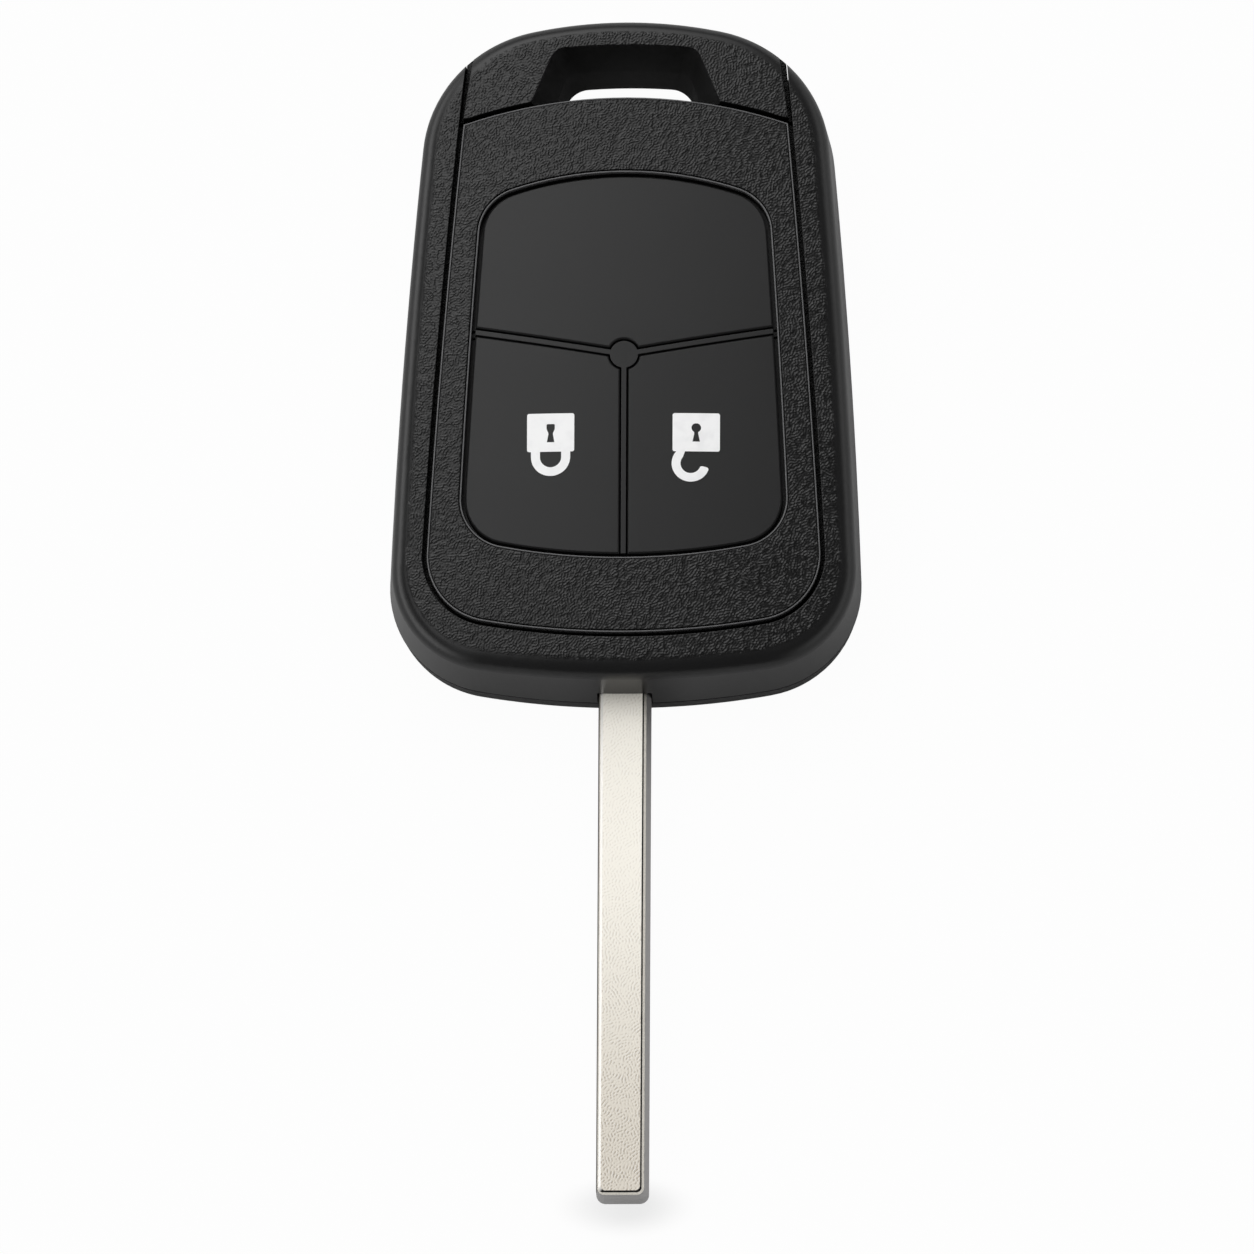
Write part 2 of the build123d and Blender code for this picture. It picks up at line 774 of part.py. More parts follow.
# Circuit board and what is soldered to it
with BuildPart() as circuit_board:
    with BuildSketch(Plane.XY.offset(board_bottom)):
        add(bowed_outline(case_panel, -wall - board_clearance))
        with Locations((0, (board_foot_y + board_head_y) / 2)):
            Rectangle(far, board_head_y - board_foot_y, mode=Mode.INTERSECT)
        with Locations(*post_places):
            Circle(pin_radius + pin_clearance, mode=Mode.SUBTRACT)
    extrude(amount=board_thickness)
circuit_board.part.label = "circuit_board"


def switch_body(place):
    """Housing of one push switch, open at the top for its plunger."""
    with BuildPart() as body:
        with BuildSketch(Plane.XY.offset(board_top)):
            with Locations(place):
                Rectangle(switch_size, switch_size)
        extrude(amount=switch_height)
        chamfer(body.edges().filter_by(Axis.Z), switch_corner)
        with BuildSketch(Plane.XY.offset(switch_top)):
            with Locations(place):
                Circle(plunger_radius + plunger_clearance)
        extrude(amount=-button_travel - press_clearance, mode=Mode.SUBTRACT)
    return body.part


def switch_plunger(place):
    """Plunger between the switch housing and the button's stem."""
    with BuildPart() as plunger:
        with BuildSketch(Plane.XY.offset(switch_top)):
            with Locations(place):
                Circle(plunger_radius)
        extrude(amount=button_travel)
    return plunger.part


lock_switch = switch_body(switch_places[0])
lock_switch.label = "lock_switch"
unlock_switch = switch_body(switch_places[1])
unlock_switch.label = "unlock_switch"
lock_switch_plunger = switch_plunger(switch_places[0])
lock_switch_plunger.label = "lock_switch_plunger"
unlock_switch_plunger = switch_plunger(switch_places[1])
unlock_switch_plunger.label = "unlock_switch_plunger"

with BuildPart() as coin_cell:
    with BuildSketch(Plane.XY.offset(cell_bottom)):
        with Locations((0, cell_y)):
            Circle(cell_radius)
    extrude(amount=cell_thickness - cell_step)
    chamfer(coin_cell.edges().filter_by(GeomType.CIRCLE).sort_by(Axis.Z)[0], cell_step)
    with BuildSketch(Plane.XY.offset(cell_top - cell_step)):
        with Locations((0, cell_y)):
            Circle(cell_radius - cell_rim)
    extrude(amount=cell_step)
coin_cell.part.label = "coin_cell"

# Contacts: a leaf that presses on the middle of the cell, and a leg at its rim
leaf_foot_y = cell_y + leaf_length
with BuildPart() as battery_contact_negative:
    with BuildSketch(Plane.YZ.offset(-contact_width / 2)):
        with BuildLine():
            Polyline(
                (leaf_foot_y, board_bottom),
                (leaf_foot_y - contact_pad, board_bottom),
                (leaf_foot_y - contact_pad, board_bottom - contact_thickness),
                (cell_y, cell_top),
                (cell_y - contact_pad / 2, cell_top + contact_thickness),
                (cell_y - contact_pad / 2, cell_top + 2 * contact_thickness),
                (cell_y, cell_top + contact_thickness),
                (leaf_foot_y, board_bottom - contact_thickness),
                close=True,
            )
        make_face()
    extrude(amount=contact_width)
battery_contact_negative.part.label = "battery_contact_negative"

with BuildPart() as battery_contact_positive:
    rim_y = cell_y + cell_radius + contact_gap
    with BuildSketch(Plane.YZ.offset(-contact_width / 2)):
        with BuildLine():
            Polyline(
                (rim_y, board_bottom),
                (rim_y + contact_pad, board_bottom),
                (rim_y + contact_pad, board_bottom - contact_thickness),
                (rim_y + contact_thickness, board_bottom - contact_thickness),
                (rim_y + contact_thickness, cell_bottom + cell_thickness / 2),
                (rim_y, cell_bottom + cell_thickness / 2),
                close=True,
            )
        make_face()
    extrude(amount=contact_width)
battery_contact_positive.part.label = "battery_contact_positive"


def board_box(place, size, height):
    """A rectangular part that stands on the board."""
    with BuildPart() as box:
        with BuildSketch(Plane.XY.offset(board_top)):
            with Locations(place):
                Rectangle(*size)
        extrude(amount=height)
    return box.part


with BuildPart() as controller_chip:
    add(board_box((0, chip_y), (chip_width, chip_length), chip_height))
    with BuildSketch(Plane.XY.offset(board_top)):
        for end in (-1, 1):
            with Locations((end * (chip_width + leg_length) / 2, chip_y)):
                with GridLocations(0, leg_pitch, 1, leg_count):
                    Rectangle(leg_length, leg_width)
    extrude(amount=leg_height)
controller_chip.part.label = "controller_chip"

with BuildPart() as crystal_can:
    crystal_place = (crystal_x, chip_y + crystal_from_chip)
    add(board_box(crystal_place, (crystal_width, crystal_length), crystal_height))
    fillet(crystal_can.edges().filter_by(Axis.Z), crystal_round)
crystal_can.part.label = "crystal_can"

with BuildPart() as chip_components:
    with BuildSketch(Plane.XY.offset(board_top)):
        for side in (-1, 1):
            with Locations((side * component_x, chip_y - component_from_chip)):
                with GridLocations(component_pitch, component_pitch, 2, 3):
                    Rectangle(component_length, component_width)
    extrude(amount=component_height)
chip_components.part.label = "chip_components"

with BuildPart() as antenna_coil:
    coil_place = (0, chip_y + coil_from_chip)
    add(board_box(coil_place, (coil_length - 2 * coil_flange, coil_width), coil_height))
    for end in (-1, 1):
        with BuildSketch(Plane.XY.offset(board_top)):
            with Locations((end * (coil_length - coil_flange) / 2, coil_place[1])):
                Rectangle(coil_flange, coil_width + 2 * coil_flange)
        extrude(amount=coil_height)
antenna_coil.part.label = "antenna_coil"

with BuildPart() as transponder_chip:
    with BuildSketch(Plane.XY.offset(back_wall)):
        with Locations((seat_block_width / 2 + transponder_gap, foot_y + transponder_from_foot)):
            Rectangle(transponder_length, transponder_width, align=(Align.MIN, Align.CENTER))
    extrude(amount=transponder_height)
    fillet(transponder_chip.edges().filter_by(Axis.Z), transponder_round)
transponder_chip.part.label = "transponder_chip"

os.makedirs("parts", exist_ok=True)
built_pieces = [
    front_frame.part,
    front_cover.part,
    key_ring_hoop.part,
    rear_case.part,
    battery_cover.part,
    cover_seal.part,
    lock_button,
    unlock_button,
    blank_panel.part,
    keypad_frame.part,
    keypad_mat.part,
    circuit_board.part,
    lock_switch,
    unlock_switch,
    lock_switch_plunger,
    unlock_switch_plunger,
    coin_cell.part,
    battery_contact_negative.part,
    battery_contact_positive.part,
    controller_chip.part,
    crystal_can.part,
    chip_components.part,
    antenna_coil.part,
    transponder_chip.part,
    blade.part,
    blade_pin.part,
]
for piece in built_pieces:
    export_step(piece, f"parts/{piece.label}.step")
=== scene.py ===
import bpy
import bmesh
import json
import math
from mathutils import Matrix, Vector

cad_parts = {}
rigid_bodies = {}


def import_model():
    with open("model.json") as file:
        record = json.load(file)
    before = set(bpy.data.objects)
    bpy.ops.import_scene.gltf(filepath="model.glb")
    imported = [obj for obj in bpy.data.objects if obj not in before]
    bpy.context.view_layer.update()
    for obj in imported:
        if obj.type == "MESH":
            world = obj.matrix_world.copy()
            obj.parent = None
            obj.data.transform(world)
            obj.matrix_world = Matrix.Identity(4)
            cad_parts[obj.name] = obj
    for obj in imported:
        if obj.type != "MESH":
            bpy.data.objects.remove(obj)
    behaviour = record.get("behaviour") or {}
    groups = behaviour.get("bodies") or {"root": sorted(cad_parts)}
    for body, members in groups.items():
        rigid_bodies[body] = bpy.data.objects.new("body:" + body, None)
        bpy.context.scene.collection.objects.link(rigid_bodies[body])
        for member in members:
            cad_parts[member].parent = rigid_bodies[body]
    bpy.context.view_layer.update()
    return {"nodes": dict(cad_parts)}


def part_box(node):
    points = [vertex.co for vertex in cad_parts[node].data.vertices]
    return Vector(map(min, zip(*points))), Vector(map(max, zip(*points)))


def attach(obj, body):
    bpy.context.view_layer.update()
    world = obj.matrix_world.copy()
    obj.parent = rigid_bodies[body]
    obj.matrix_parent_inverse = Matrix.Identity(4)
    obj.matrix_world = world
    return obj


for leftOver in list(bpy.data.objects):
    bpy.data.objects.remove(leftOver)

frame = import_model()
cadNodes = frame["nodes"]
mm = 0.001
noiseMiddle = 0.5
print("frame loaded:", len(cadNodes), "nodes")


class Signal:
    # wraps an output socket, so that shader maths reads as an ordinary expression
    def __init__(self, tree, socket=None):
        self.tree = tree
        self.socket = socket

    def node(self, kind, settings=None, plugs=None, out=0):
        made = self.tree.nodes.new("ShaderNode" + kind)
        for name, value in (settings or {}).items():
            setattr(made, name, value)
        for name, value in (plugs or {}).items():
            if isinstance(value, Signal):
                self.tree.links.new(value.socket, made.inputs[name])
            else:
                made.inputs[name].default_value = value
        return Signal(self.tree, made.outputs[out])

    def maths(self, operation, *values):
        return self.node("Math", {"operation": operation}, dict(enumerate(values)))

    def __add__(self, other):
        return self.maths("ADD", self, other)

    def __radd__(self, other):
        return self.maths("ADD", other, self)

    def __sub__(self, other):
        return self.maths("SUBTRACT", self, other)

    def __rsub__(self, other):
        return self.maths("SUBTRACT", other, self)

    def __mul__(self, other):
        return self.maths("MULTIPLY", self, other)

    def __rmul__(self, other):
        return self.maths("MULTIPLY", other, self)

    def between(self, low, high):
        # 0 below low, 1 above high, smooth between
        return self.node("MapRange", {"interpolation_type": "SMOOTHSTEP"},
                         {"Value": self, "From Min": low, "From Max": high})

    def blend(self, first, second):
        # mixes two colours, with this signal as the factor
        return self.node("Mix", {"data_type": "RGBA"}, {0: self, 6: first, 7: second}, out=2)

    def axis(self, number):
        # one coordinate of a vector: 0 across, 1 along, 2 up
        return self.node("SeparateXYZ", {}, {0: self}, out=number)


def startMaterial(name):
    material = bpy.data.materials.new(name)
    material.use_nodes = True
    material.node_tree.nodes.clear()
    return material, Signal(material.node_tree)


def endTree(base, shader, kind="Material"):
    output = base.tree.nodes.new("ShaderNodeOutput" + kind)
    base.tree.links.new(shader.socket, output.inputs["Surface"])


def placeInMm(base):
    # the piece's own place in millimetres
    place = base.node("TexCoord", out="Object")
    return base.node("Mapping", {}, {"Vector": place, "Scale": (1 / mm, 1 / mm, 1 / mm)})


def noise(base, place, scale, detail=2.0, distortion=0.0, roughness=0.5):
    return base.node("TexNoise", {}, {"Vector": place, "Scale": scale, "Detail": detail,
                                      "Distortion": distortion, "Roughness": roughness})


def swirlingStrokes(base, place, looks):
    # long grain strokes; their turn goes by its number, 4, because two sockets share its name
    swirl = noise(base, place, looks["swirlPerMm"], detail=1.0) - noiseMiddle
    return base.node("TexGabor", {"gabor_type": "2D"}, {
        "Vector": place, "Scale": looks["strokesPerMm"], "Frequency": looks["wavesPerStroke"],
        "Anisotropy": looks["regularity"], 4: swirl * looks["swirlTurn"] + looks["strokeTurn"]})


def finishMaterial(base, looks, height=None, depth=0.02, softEdge=0.0):
    # height in 0 to 1, depth and softEdge in millimetres
    plugs = dict(looks)
    normal = None
    if softEdge:
        normal = base.node("Bevel", {"samples": 6}, {"Radius": softEdge * mm})
    if height is not None:
        bumpPlugs = {"Height": height, "Distance": depth * mm, "Strength": 1.0}
        if normal:
            bumpPlugs["Normal"] = normal
        normal = base.node("Bump", {}, bumpPlugs)
    if normal:
        plugs["Normal"] = normal
    shader = base.node("BsdfPrincipled", {}, plugs)
    endTree(base, shader)


# Black leather-grained plastic of the frame, the cover and the hoop, with painted glints and painted shade
crownShape = {"top": 12.5, "middle": 20.95, "acrossRadius": 125.0, "alongRadius": 243.0}
grainedPlastic = {
    # painted shade in the grain's valleys
    "valleyShadeColour": (0.0008, 0.0008, 0.0008, 1),
    "colour": (0.0045, 0.0045, 0.0046, 1),
    # painted glints on the grain's ridges
    "paintedGlintColour": (0.052, 0.052, 0.053, 1),
    "smoothColour": (0.0075, 0.0075, 0.0077, 1),
    "paleColour": (0.0105, 0.0105, 0.0107, 1),
    # painted shade on walls and deep faces in the gaps
    "gapShadeColour": (0.0005, 0.0005, 0.0005, 1),
    "roughness": 0.26,
    "valleyRoughness": 0.25,
    "strokesPerMm": 1.75,
    "wavesPerStroke": 2.4,
    "regularity": 0.42,
    "ridges": (0.54, 0.7),
    "valleys": (0.3, 0.46),
    "breaksPerMm": 2.3,
    "breaks": (0.38, 0.6),
    "leftInBreak": 0.25,
    "depthInBreak": 0.4,
    "strokeTurn": math.radians(-48),
    "swirlPerMm": 0.14,
    "swirlTurn": math.radians(150),
    "tonesPerMm": 0.12,
    "toneRoughness": 0.06,
    "patchesPerMm": 0.45,
    "patchStrength": 0.5,
    "grainDepth": 0.1,
    "softEdge": 0.09,
    "topFacing": (0.955, 0.985),
    # which walls and how deep faces get the painted gap shade
    "wallFacing": (0.3, 0.6),
    "wallRoughness": 0.3,
    "gapDepth": (0.3, 0.42),
}


def grainedMaterial(name, innerWalls):
    # the mask function takes the direction a wall faces and its place, and gives 1 where the wall stands in
    # a gap and gets painted shade
    material, base = startMaterial(name)
    straight = placeInMm(base)
    strokes = swirlingStrokes(base, straight, grainedPlastic)
    breaks = noise(base, straight, grainedPlastic["breaksPerMm"], detail=0.0)
    breaks = breaks.between(*grainedPlastic["breaks"])
    left, deep = grainedPlastic["leftInBreak"], grainedPlastic["depthInBreak"]
    ridges = strokes.between(*grainedPlastic["ridges"]) * (left + breaks * (1 - left))
    valleys = 1 - strokes.between(*grainedPlastic["valleys"])
    tone = noise(base, straight, grainedPlastic["tonesPerMm"], detail=1.0)
    patches = noise(base, straight, grainedPlastic["patchesPerMm"], detail=1.0)
    patchStrength = grainedPlastic["patchStrength"]
    normal = base.node("TexCoord", out="Normal")
    facing = normal.axis(2)
    topOnly = facing.between(*grainedPlastic["topFacing"])
    across = straight.axis(0)
    along = straight.axis(1) - crownShape["middle"]
    height = straight.axis(2)
    crown = crownShape["top"] - across * across * (0.5 / crownShape["acrossRadius"])
    crown = crown - along * along * (0.5 / crownShape["alongRadius"])
    depth = crown - height
    # painted shade: walls in the gaps, and top faces lying deep below the crown, turn near black
    wall = (1 - facing.between(*grainedPlastic["wallFacing"])) * innerWalls(base, normal, straight)
    wall = wall.maths("MAXIMUM", wall, topOnly * depth.between(*grainedPlastic["gapDepth"]))
    # painted shade in the valleys, painted glints on the ridges
    shade = valleys.blend(grainedPlastic["colour"], grainedPlastic["valleyShadeColour"])
    patched = ridges * ((1 - patchStrength) + patches * patchStrength)
    shade = patched.blend(shade, grainedPlastic["paintedGlintColour"])
    smooth = tone.blend(grainedPlastic["smoothColour"], grainedPlastic["paleColour"])
    rough = grainedPlastic["roughness"] + valleys * topOnly * grainedPlastic["valleyRoughness"]
    relief = strokes * topOnly * (deep + breaks * (1 - deep))
    finishMaterial(base, {
        "Base Color": wall.blend(topOnly.blend(smooth, shade), grainedPlastic["gapShadeColour"]),
        "Roughness": rough + tone * grainedPlastic["toneRoughness"] + wall * grainedPlastic["wallRoughness"],
    }, relief, grainedPlastic["grainDepth"], grainedPlastic["softEdge"])
    return material


# Which walls stand in a gap and get painted shade
gapWalls = {"middle": (0, 22, 0), "inward": (-2, 0), "headFacing": (0.3, 0.5), "beyondSlot": (46.8, 47.2)}


def facingIn(base, normal, place):
    # walls that face the middle of the key
    middle = gapWalls["middle"]
    centred = base.node("VectorMath", {"operation": "SUBTRACT"}, {0: place, 1: middle}, out="Vector")
    flat = base.node("VectorMath", {"operation": "MULTIPLY"}, {0: centred, 1: (1, 1, 0)}, out="Vector")
    outward = base.node("VectorMath", {"operation": "DOT_PRODUCT"}, {0: flat, 1: normal}, out="Value")
    return 1 - outward.between(*gapWalls["inward"])


def notFacingHead(base, normal, place):
    # every wall but the rounded end of the hoop
    beyondSlot = place.axis(1).between(*gapWalls["beyondSlot"])
    return 1 - normal.axis(1).between(*gapWalls["headFacing"]) * beyondSlot


frameMaterial = grainedMaterial("leather grained frame", facingIn)
coverMaterial = grainedMaterial("leather grained cover", lambda base, normal, place: 1)
hoopMaterial = grainedMaterial("leather grained hoop", notFacingHead)

# The cover's rim beads: smooth, with a pale colour that is a painted highlight along the rim
beadPlastic = {
    "colour": (0.085, 0.085, 0.087, 1),
    "paleColour": (0.12, 0.12, 0.122, 1),
    "roughness": 0.3,
    "wearRoughness": 0.1,
    "wearPerMm": 0.8,
    "wearDepth": 0.004,
    "softEdge": 0.03,
}
beadHighlightMaterial, base = startMaterial("rim bead painted highlight")
wearAndHighlight = noise(base, placeInMm(base), beadPlastic["wearPerMm"])
finishMaterial(base, {
    # the pale colour is a painted highlight; the noise varies it together with the gloss and the bump
    "Base Color": wearAndHighlight.blend(beadPlastic["colour"], beadPlastic["paleColour"]),
    "Roughness": beadPlastic["roughness"] + wearAndHighlight * beadPlastic["wearRoughness"],
}, wearAndHighlight, beadPlastic["wearDepth"], beadPlastic["softEdge"])

# Rear case and battery cover: finer spark-eroded grain
rearPlastic = {
    "colour": (0.011, 0.011, 0.0115, 1),
    "paleColour": (0.017, 0.017, 0.0175, 1),
    # painted shade in the key-ring slot
    "slotShadeColour": (0.003, 0.003, 0.003, 1),
    "slotHalf": (8.4, 8.8),
    "slotFoot": (40.5, 41.0),
    "slotHead": (47.0, 47.4),
    "roughness": 0.52,
    "speckRoughness": 0.08,
    "specksPerMm": 5.0,
    "speckStrength": 0.5,
    "speckDepth": 0.012,
    "flowPerMm": 0.3,
    "flowStrength": 0.4,
    "softEdge": 0.06,
}
rearMaterial, base = startMaterial("rear plastic")
place = placeInMm(base)
speckle = noise(base, place, rearPlastic["specksPerMm"], detail=3.0, distortion=0.2, roughness=0.6)
flow = noise(base, place, rearPlastic["flowPerMm"], detail=1.0)
across = place.axis(0)
along = place.axis(1)
# painted shade: the key-ring slot's walls turn near black
inSlot = 1 - across.maths("ABSOLUTE", across).between(*rearPlastic["slotHalf"])
inSlot = inSlot * along.between(*rearPlastic["slotFoot"]) * (1 - along.between(*rearPlastic["slotHead"]))
mixed = speckle * rearPlastic["speckStrength"] + flow * rearPlastic["flowStrength"]
colour = mixed.blend(rearPlastic["colour"], rearPlastic["paleColour"])
finishMaterial(base, {
    "Base Color": inSlot.blend(colour, rearPlastic["slotShadeColour"]),
    "Roughness": rearPlastic["roughness"] + speckle * rearPlastic["speckRoughness"],
}, speckle, rearPlastic["speckDepth"], rearPlastic["softEdge"])

# Keypad: smooth satin black
keypadPlastic = {
    "colour": (0.0095, 0.0095, 0.0097, 1),
    "paleColour": (0.0125, 0.0125, 0.0127, 1),
    "roughness": 0.39,
    "mottleRoughness": 0.08,
    "mottlePerMm": 2.2,
    "mottleStrength": 0.4,
    "mottleDepth": 0.004,
    "flowPerMm": 0.18,
    "flowStrength": 0.4,
    "softEdge": 0.07,
}
keypadMaterial, base = startMaterial("keypad satin plastic")
place = placeInMm(base)
mottle = noise(base, place, keypadPlastic["mottlePerMm"], detail=3.0, roughness=0.6)
flow = noise(base, place, keypadPlastic["flowPerMm"], detail=1.0)
mixed = mottle * keypadPlastic["mottleStrength"] + flow * keypadPlastic["flowStrength"]
finishMaterial(base, {
    "Base Color": mixed.blend(keypadPlastic["colour"], keypadPlastic["paleColour"]),
    "Roughness": keypadPlastic["roughness"] + mottle * keypadPlastic["mottleRoughness"],
}, mottle, keypadPlastic["mottleDepth"], keypadPlastic["softEdge"])

# Padlock signs: white print, a little cloudy
signPaint = {
    "colour": (0.88, 0.88, 0.88, 1),
    "cloudColour": (0.82, 0.82, 0.825, 1),
    "cloudsPerMm": 0.9,
    "clouds": (0.42, 0.72),
    "roughness": 0.5,
    "cloudRoughness": 0.1,
    "bumpsPerMm": 3.0,
    "bumpDepth": 0.004,
}
signMaterial, base = startMaterial("white sign print")
place = placeInMm(base)
cloud = noise(base, place, signPaint["cloudsPerMm"])
finishMaterial(base, {
    "Base Color": cloud.between(*signPaint["clouds"]).blend(signPaint["colour"], signPaint["cloudColour"]),
    "Roughness": signPaint["roughness"] + cloud * signPaint["cloudRoughness"],
}, noise(base, place, signPaint["bumpsPerMm"], detail=1.0), signPaint["bumpDepth"])

# Blade: satin nickel with a sandy grain on its raised face, smooth on its shoulders, with painted light and
# shade
bladeLow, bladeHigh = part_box("blade")
bladeTop = bladeHigh[2] / mm
bladeTip = bladeLow[1] / mm
bladeMetal = {
    "colour": (0.96, 0.925, 0.84, 1),
    "pitColour": (0.60, 0.55, 0.47, 1),
    "glintColour": (1.0, 0.99, 0.95, 1),
    # painted shade, deepening towards the tip
    "tipShade": (0.74, 0.715, 0.69, 1),
    "tipFade": (1.0, 31.0),
    # painted highlight on the step that faces left
    "leftHighlightColour": (0.97, 0.95, 0.91, 1),
    "ledgeColour": (0.66, 0.63, 0.57, 1),
    "sideColour": (0.52, 0.51, 0.505, 1),
    "palerSideColour": (0.58, 0.57, 0.565, 1),
    # painted shade on the side wall that faces left
    "leftSideShadeColour": (0.16, 0.145, 0.125, 1),
    # painted shade on the steps that face right and towards the foot
    "stepShadeColour": (0.010, 0.009, 0.008, 1),
    "roughness": 0.42,
    "strokesPerMm": 1.5,
    "wavesPerStroke": 2.6,
    "regularity": 0.45,
    "pits": (0.3, 0.5),
    "glints": (0.55, 0.75),
    "grainAwayFromTip": 0.3,
    "strokeTurn": math.radians(-18),
    "swirlPerMm": 0.35,
    "swirlTurn": math.radians(80),
    "finePerMm": 7.0,
    "grainDepth": 0.03,
    "softEdge": 0.02,
    "grainRoughness": 0.06,
    "stepRoughness": 0.3,
    "stepHeight": 0.14,
    "stepMargin": (0.01, 0.002),
    "raisedDepth": (0.06, 0.02),
    "flatFacing": (0.88, 0.97),
    "rimFacing": (0.9, 0.96),
    "leftFacing": (0.3, 0.45),
    "darkFacing": (0.3, 0.5),
    "stepDullness": 0.9,
    "faceDullness": 0.8,
}
bladeMaterial, base = startMaterial("blade nickel")
place = placeInMm(base)
sand = swirlingStrokes(base, place, bladeMetal)
fine = noise(base, place, bladeMetal["finePerMm"], detail=1.0)
normal = base.node("TexCoord", out="Normal")
faceLeft = 0 - normal.axis(0)
faceRight = normal.axis(0)
faceFoot = 0 - normal.axis(1)
height = place.axis(2)
nearTip = 1 - place.axis(1).between(*(bladeTip + reach for reach in bladeMetal["tipFade"]))
raised = height.between(*(bladeTop - depth for depth in bladeMetal["raisedDepth"]))
stepLow, stepHigh = bladeMetal["stepMargin"]
ledgeTop = bladeTop - bladeMetal["stepHeight"]
aboveLedge = height.between(ledgeTop - stepLow, ledgeTop + stepHigh)
flat = normal.axis(2).between(*bladeMetal["flatFacing"])
sandy = flat * raised
away = bladeMetal["grainAwayFromTip"]
rough = away + nearTip * (1 - away)
pits = (1 - sand.between(*bladeMetal["pits"])) * rough
glints = sand.between(*bladeMetal["glints"]) * rough
faceColour = pits.blend(bladeMetal["colour"], bladeMetal["pitColour"])
faceColour = glints.blend(faceColour, bladeMetal["glintColour"])
# painted shade: the face grows darker towards the tip
shadedFace = base.node("Mix", {"data_type": "RGBA", "blend_type": "MULTIPLY"},
                 {0: nearTip, 6: faceColour, 7: bladeMetal["tipShade"]}, out=2)
ledge = fine.blend(bladeMetal["ledgeColour"], bladeMetal["colour"])
side = fine.blend(bladeMetal["sideColour"], bladeMetal["palerSideColour"])
# painted shade on the side wall that faces left
side = faceLeft.between(*bladeMetal["rimFacing"]).blend(side, bladeMetal["leftSideShadeColour"])
colour = flat.blend(side, raised.blend(ledge, shadedFace))
onStep = aboveLedge * (1 - flat)
# painted highlight on the step that faces left
leftStepHighlight = faceLeft.between(*bladeMetal["leftFacing"]) * onStep
# painted shade on the steps that face right and towards the foot
darkFacing = bladeMetal["darkFacing"]
shadedStep = (faceRight.between(*darkFacing) + faceFoot.between(*darkFacing)) * onStep
colour = leftStepHighlight.blend(colour, bladeMetal["leftHighlightColour"])
colour = shadedStep.blend(colour, bladeMetal["stepShadeColour"])
finishMaterial(base, {
    "Base Color": colour,
    "Metallic": 1 - shadedStep * bladeMetal["stepDullness"] - sandy * bladeMetal["faceDullness"],
    "Roughness": (bladeMetal["roughness"] + sand * bladeMetal["grainRoughness"]
                  + shadedStep * bladeMetal["stepRoughness"]),
}, sand * sandy * rough, bladeMetal["grainDepth"], bladeMetal["softEdge"])

# Silicone, board, chips and metals inside
innerFinishes = {
    "dark silicone": {
        "colour": (0.02, 0.02, 0.021, 1), "paleColour": (0.03, 0.03, 0.032, 1),
        "metallic": 0.0, "roughness": 0.6, "specksPerMm": 1.5, "speckDepth": 0.006,
        "nodes": ["keypad_mat", "cover_seal"],
    },
    "solder mask": {
        "colour": (0.01, 0.09, 0.035, 1), "paleColour": (0.02, 0.16, 0.06, 1),
        "metallic": 0.0, "roughness": 0.3, "specksPerMm": 2.0, "speckDepth": 0.005,
        "nodes": ["circuit_board"],
    },
    "moulded epoxy": {
        "colour": (0.012, 0.012, 0.012, 1), "paleColour": (0.025, 0.025, 0.026, 1),
        "metallic": 0.0, "roughness": 0.55, "specksPerMm": 5.0, "speckDepth": 0.006,
        "nodes": ["lock_switch_plunger", "unlock_switch_plunger", "controller_chip",
                  "chip_components", "transponder_chip"],
    },
    "stamped steel": {
        "colour": (0.45, 0.45, 0.44, 1), "paleColour": (0.6, 0.6, 0.58, 1),
        "metallic": 1.0, "roughness": 0.3, "specksPerMm": 1.6, "speckDepth": 0.004,
        "nodes": ["lock_switch", "unlock_switch"],
    },
    "nickel strip": {
        "colour": (0.5, 0.48, 0.43, 1), "paleColour": (0.7, 0.68, 0.62, 1),
        "metallic": 1.0, "roughness": 0.25, "specksPerMm": 2.0, "speckDepth": 0.004,
        "nodes": ["battery_contact_negative", "battery_contact_positive", "crystal_can", "blade_pin"],
    },
    "nickel plated can": {
        "colour": (0.5, 0.5, 0.49, 1), "paleColour": (0.68, 0.68, 0.66, 1),
        "metallic": 1.0, "roughness": 0.25, "specksPerMm": 0.8, "speckDepth": 0.003,
        "nodes": ["coin_cell"],
    },
    "enamelled copper": {
        "colour": (0.3, 0.1, 0.03, 1), "paleColour": (0.5, 0.2, 0.07, 1),
        "metallic": 0.9, "roughness": 0.35, "specksPerMm": 2.0, "speckDepth": 0.004,
        "nodes": ["antenna_coil"],
    },
}
innerLooks = {
    "flowShare": 0.12,
    "speckStrength": 0.6,
    "flowStrength": 0.4,
    "speckRoughness": 0.1,
    "softEdge": 0.04,
}


def innerMaterial(name, finish):
    material, base = startMaterial(name)
    place = placeInMm(base)
    specks = noise(base, place, finish["specksPerMm"], detail=3.0)
    flow = noise(base, place, finish["specksPerMm"] * innerLooks["flowShare"], detail=1.0)
    mixed = specks * innerLooks["speckStrength"] + flow * innerLooks["flowStrength"]
    finishMaterial(base, {
        "Base Color": mixed.blend(finish["colour"], finish["paleColour"]),
        "Metallic": finish["metallic"],
        "Roughness": finish["roughness"] + specks * innerLooks["speckRoughness"],
    }, specks, finish["speckDepth"], innerLooks["softEdge"])
    return material


finishes = {
    frameMaterial: ["front_frame"],
    coverMaterial: ["front_cover"],
    hoopMaterial: ["key_ring_hoop"],
    rearMaterial: ["rear_case", "battery_cover"],
    keypadMaterial: ["lock_button", "unlock_button", "blank_panel", "keypad_frame"],
    bladeMaterial: ["blade"],
}
for name, finish in innerFinishes.items():
    finishes[innerMaterial(name, finish)] = finish["nodes"]
for material, names in finishes.items():
    for name in names:
        cadNodes[name].data.materials.clear()
        cadNodes[name].data.materials.append(material)
print("finishes given to", sum(len(names) for names in finishes.values()), "nodes")

